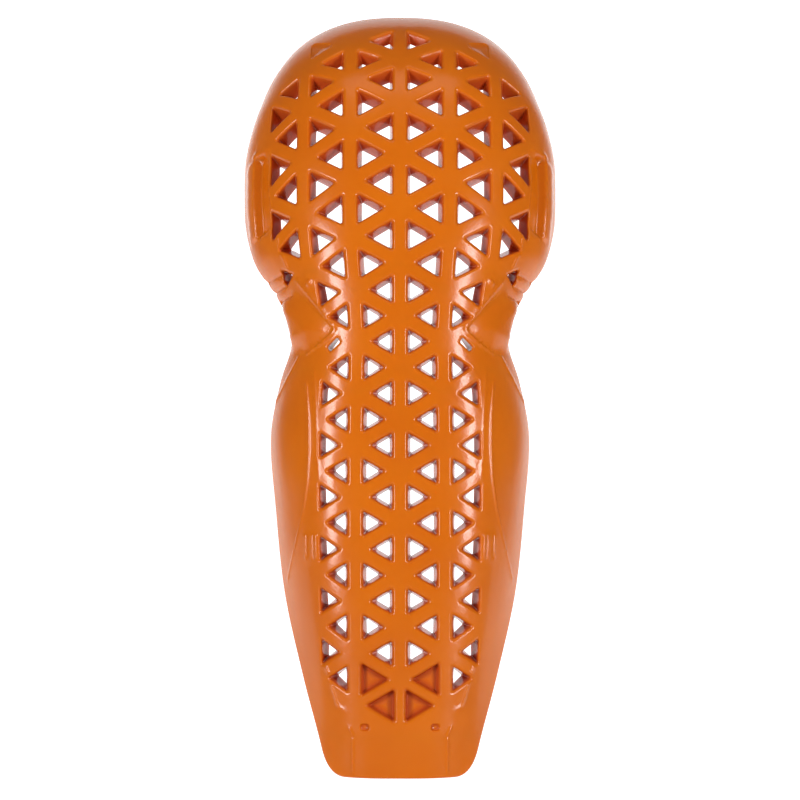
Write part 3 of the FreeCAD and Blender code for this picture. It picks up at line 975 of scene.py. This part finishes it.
def add_smooth_mesh(name, mesh_name, points, faces, material):
    mesh = bpy.data.meshes.new(mesh_name)
    mesh.from_pydata(points, [], faces)
    mesh.polygons.foreach_set("use_smooth", [True] * len(mesh.polygons))
    mesh.materials.append(material)
    piece = bpy.data.objects.new(name, mesh)
    bpy.context.scene.collection.objects.link(piece)
    return piece


def make_zone_piece(moulding, normals, zone, material):
    """One zone as a closed mesh, shaded as part of the whole moulding."""
    faces = [face for face, name in zip(moulding.faces, moulding.zones) if name == zone]
    hidden = cut_faces(faces, moulding.back_of)
    used = sorted({index for face in faces for index in face})
    place = {index: number for number, index in enumerate(used)}
    points = [tuple(moulding.points[index] * MM) for index in used]
    corners = [[place[index] for index in face] for face in faces + hidden]
    piece = add_smooth_mesh(zone + "_skin", zone, points, corners, material)
    mesh = piece.data
    loop_normals = [tuple(normals[index]) for face in faces for index in face]
    for polygon in list(mesh.polygons)[len(faces):]:
        loop_normals.extend([tuple(polygon.normal)] * polygon.loop_total)
    mesh.normals_split_custom_set(loop_normals)
    # Painted shade in the holes, stored on each point for the material.
    hole_shade = mesh.attributes.new("hole_shade", "FLOAT", "POINT")
    hole_shade.data.foreach_set("value", [moulding.hole_shade.get(index, 0.0) for index in used])
    return piece


# ---- material
def set_inputs(node, values):
    for name, value in values.items():
        node.inputs[name].default_value = value


def noise(nodes, links, coordinates, scale, detail=3.0):
    texture = nodes.new("ShaderNodeTexNoise")
    set_inputs(texture, {"Scale": scale, "Detail": detail})
    links.new(coordinates, texture.inputs["Vector"])
    return texture.outputs["Fac"]


def remap(nodes, links, value, low, high, start=0.3, end=0.7):
    """A value's run from start to end, spread over low to high."""
    node = nodes.new("ShaderNodeMapRange")
    set_inputs(node, {"From Min": start, "From Max": end, "To Min": low, "To Max": high})
    links.new(value, node.inputs["Value"])
    return node.outputs["Result"]


ORANGE_DARK = (0.69, 0.145, 0.0022, 1.0)
ORANGE_LIGHT = (0.75, 0.170, 0.0030, 1.0)
# Painted shade: the walls of the holes are painted darker and redder, and made duller, where shade falls in
# them.
HOLE_SHADE_COLOUR = (0.56, 0.085, 0.014, 1.0)
MOTTLE_SCALE = 22.0
GLOSS_SCALE = 70.0
RIPPLE_SCALE = 160.0
PEEL_SCALE = 900.0
BUMP_HEIGHT = 0.0004


def moulding_material():
    """Glossy orange elastomer: faint mottling, a fine orange-peel surface, uneven gloss, and painted shade on
    the walls of the holes.
    """
    material = bpy.data.materials.new("orange_elastomer")
    material.use_nodes = True
    nodes, links = material.node_tree.nodes, material.node_tree.links
    shader = nodes["Principled BSDF"]
    coordinates = nodes.new("ShaderNodeTexCoord").outputs["Object"]
    # Painted shade: the walls of the holes are mixed towards a darker, redder colour and reflect less.
    hole_shade = nodes.new("ShaderNodeAttribute")
    hole_shade.attribute_name = "hole_shade"
    mix, hole_shade_mix = nodes.new("ShaderNodeMix"), nodes.new("ShaderNodeMix")
    mix.data_type = hole_shade_mix.data_type = "RGBA"
    set_inputs(mix, {"A": ORANGE_DARK, "B": ORANGE_LIGHT})
    set_inputs(hole_shade_mix, {"B": HOLE_SHADE_COLOUR})
    mottle = remap(nodes, links, noise(nodes, links, coordinates, MOTTLE_SCALE), 0.0, 1.0)
    links.new(mottle, mix.inputs["Factor"])
    links.new(hole_shade.outputs["Fac"], hole_shade_mix.inputs["Factor"])
    links.new(mix.outputs["Result"], hole_shade_mix.inputs["A"])
    links.new(hole_shade_mix.outputs["Result"], shader.inputs["Base Color"])
    links.new(remap(nodes, links, hole_shade.outputs["Fac"], 0.42, 0.22), shader.inputs["Specular IOR Level"])
    gloss = noise(nodes, links, coordinates, GLOSS_SCALE)
    links.new(remap(nodes, links, gloss, 0.17, 0.25), shader.inputs["Roughness"])
    peel = noise(nodes, links, coordinates, PEEL_SCALE, 2.0)
    ripple = noise(nodes, links, coordinates, RIPPLE_SCALE, 1.0)
    fine, broad = nodes.new("ShaderNodeBump"), nodes.new("ShaderNodeBump")
    for bump, source, strength in ((fine, peel, 0.10), (broad, ripple, 0.12)):
        set_inputs(bump, {"Strength": strength, "Distance": BUMP_HEIGHT})
        links.new(source, bump.inputs["Height"])
    links.new(broad.outputs["Normal"], fine.inputs["Normal"])
    links.new(fine.outputs["Normal"], shader.inputs["Normal"])
    set_inputs(shader, {"IOR": 1.42, "Coat Weight": 0.15, "Coat Roughness": 0.12, "Subsurface Weight": 0.12,
                        "Subsurface Radius": (1.0, 0.35, 0.08), "Subsurface Scale": 0.004})
    return material


def attach(piece, zone):
    """Ties a piece to its body, or bakes in the transform of a piece that lies across a joint."""
    name = "left" if zone.startswith("left") else "right"
    if zone == "waist_web" or zone.endswith("gusset"):
        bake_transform(piece)
    elif zone.endswith("flap_web"):
        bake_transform(piece)
    elif zone.endswith("wing_web"):
        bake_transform(piece)
    elif zone.endswith("flap"):
        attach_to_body(piece, name + "_flap")
    elif zone.endswith("wing"):
        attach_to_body(piece, name + "_wing")
    else:
        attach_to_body(piece, "knee" if zone.startswith("knee") else "shin")
    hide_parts(zone)


def make_pieces():
    moulding = Moulding()
    normals = moulding.point_normals()
    material = moulding_material()
    for zone in sorted(set(moulding.zones)):
        attach(make_zone_piece(moulding, normals, zone, material), zone)


# ---- stage, lights and camera
# The sweep starts to glow at the first of these depths and is fully lit from the second.
GLOW_START = -0.03
GLOW_FULL = 0.0
GLOW = 0.95
# The glow covers what the camera sees, and fades out beside it.
GLOW_HALF_WIDTH = 0.75
GLOW_FADE = 0.9
# The guard stands free, this far above the floor.
FLOOR_GAP = 0.013
WORLD = 0.12
SOFTBOX_POWER = 9.3
OVERHEAD_POWER = 2.2
CAMERA_LENS = 110.1
CAMERA_PLACE = (0.0, -1.150, -0.0987)


def studio_white():
    """White paint that is lit from within behind the guard, and plain in front of it."""
    material = bpy.data.materials.new("studio_white")
    material.use_nodes = True
    nodes, links = material.node_tree.nodes, material.node_tree.links
    shader = nodes["Principled BSDF"]
    set_inputs(shader, {"Base Color": (0.7, 0.7, 0.7, 1.0), "Roughness": 0.9, "Specular IOR Level": 0.0,
                        "Emission Color": (1.0, 1.0, 1.0, 1.0)})
    split = nodes.new("ShaderNodeSeparateXYZ")
    links.new(nodes.new("ShaderNodeTexCoord").outputs["Object"], split.inputs["Vector"])
    aside, strength = nodes.new("ShaderNodeMath"), nodes.new("ShaderNodeMath")
    aside.operation, strength.operation = "ABSOLUTE", "MULTIPLY"
    links.new(split.outputs["X"], aside.inputs[0])
    glow = remap(nodes, links, split.outputs["Y"], 0.0, GLOW, GLOW_START, GLOW_FULL)
    dark = GLOW_HALF_WIDTH + GLOW_FADE
    fade = remap(nodes, links, aside.outputs["Value"], 1.0, 0.0, GLOW_HALF_WIDTH, dark)
    links.new(glow, strength.inputs[0])
    links.new(fade, strength.inputs[1])
    links.new(strength.outputs["Value"], shader.inputs["Emission Strength"])
    return material


def make_stage():
    """A pale floor that curves up into a lit backdrop behind the guard."""
    half, near, far, top, bend = 3.0, -1.6, 1.6, 2.6, 0.6
    floor = TOE_END * MM - FLOOR_GAP
    profile = [(near, floor), (GLOW_START, floor), (GLOW_FULL, floor)]
    arc = [math.radians(angle) for angle in range(0, 91, 10)]
    profile += [(far - bend + bend * math.sin(a), floor + bend * (1 - math.cos(a))) for a in arc]
    profile.append((far, top))
    points = [(side * half, depth, height) for depth, height in profile for side in (-1, 1)]
    faces = [(2 * row, 2 * row + 1, 2 * row + 3, 2 * row + 2) for row in range(len(profile) - 1)]
    sweep = add_smooth_mesh("studio_sweep", "studio_sweep", points, faces, studio_white())


def add_light(name, place, target, size, power):
    light = bpy.data.lights.new(name, "AREA")
    light.shape = "RECTANGLE"
    light.size, light.size_y = size
    light.energy = power
    lamp = bpy.data.objects.new(name, light)
    lamp.location = place
    lamp.rotation_euler = (Vector(target) - Vector(place)).to_track_quat("-Z", "Y").to_euler()
    bpy.context.scene.collection.objects.link(lamp)


def make_lights():
    """Two tall softboxes to the sides of the camera, and a weak light overhead."""
    middle = (0.0, 0.0, -0.09)
    for side in (-1, 1):
        add_light("side_softbox", (side * 0.94, -1.0, 0.0), middle, (0.26, 0.55), SOFTBOX_POWER)
    add_light("overhead", (0.0, -0.75, 1.15), middle, (1.2, 0.5), OVERHEAD_POWER)
    world = bpy.data.worlds.new("studio")
    world.use_nodes = True
    set_inputs(world.node_tree.nodes["Background"], {"Color": (1.0, 1.0, 1.0, 1.0), "Strength": WORLD})
    bpy.context.scene.world = world


def make_camera():
    """Level with the middle of the guard, and far enough back that the view is nearly flat."""
    camera = bpy.data.cameras.new("camera")
    camera.lens = CAMERA_LENS
    camera.sensor_width = 36.0
    holder = bpy.data.objects.new("camera", camera)
    holder.location = CAMERA_PLACE
    holder.rotation_euler = (math.radians(90), 0.0, 0.0)
    bpy.context.scene.collection.objects.link(holder)
    bpy.context.scene.camera = holder


make_pieces()
make_stage()
make_lights()
make_camera()
bpy.context.scene.view_settings.view_transform = "Standard"
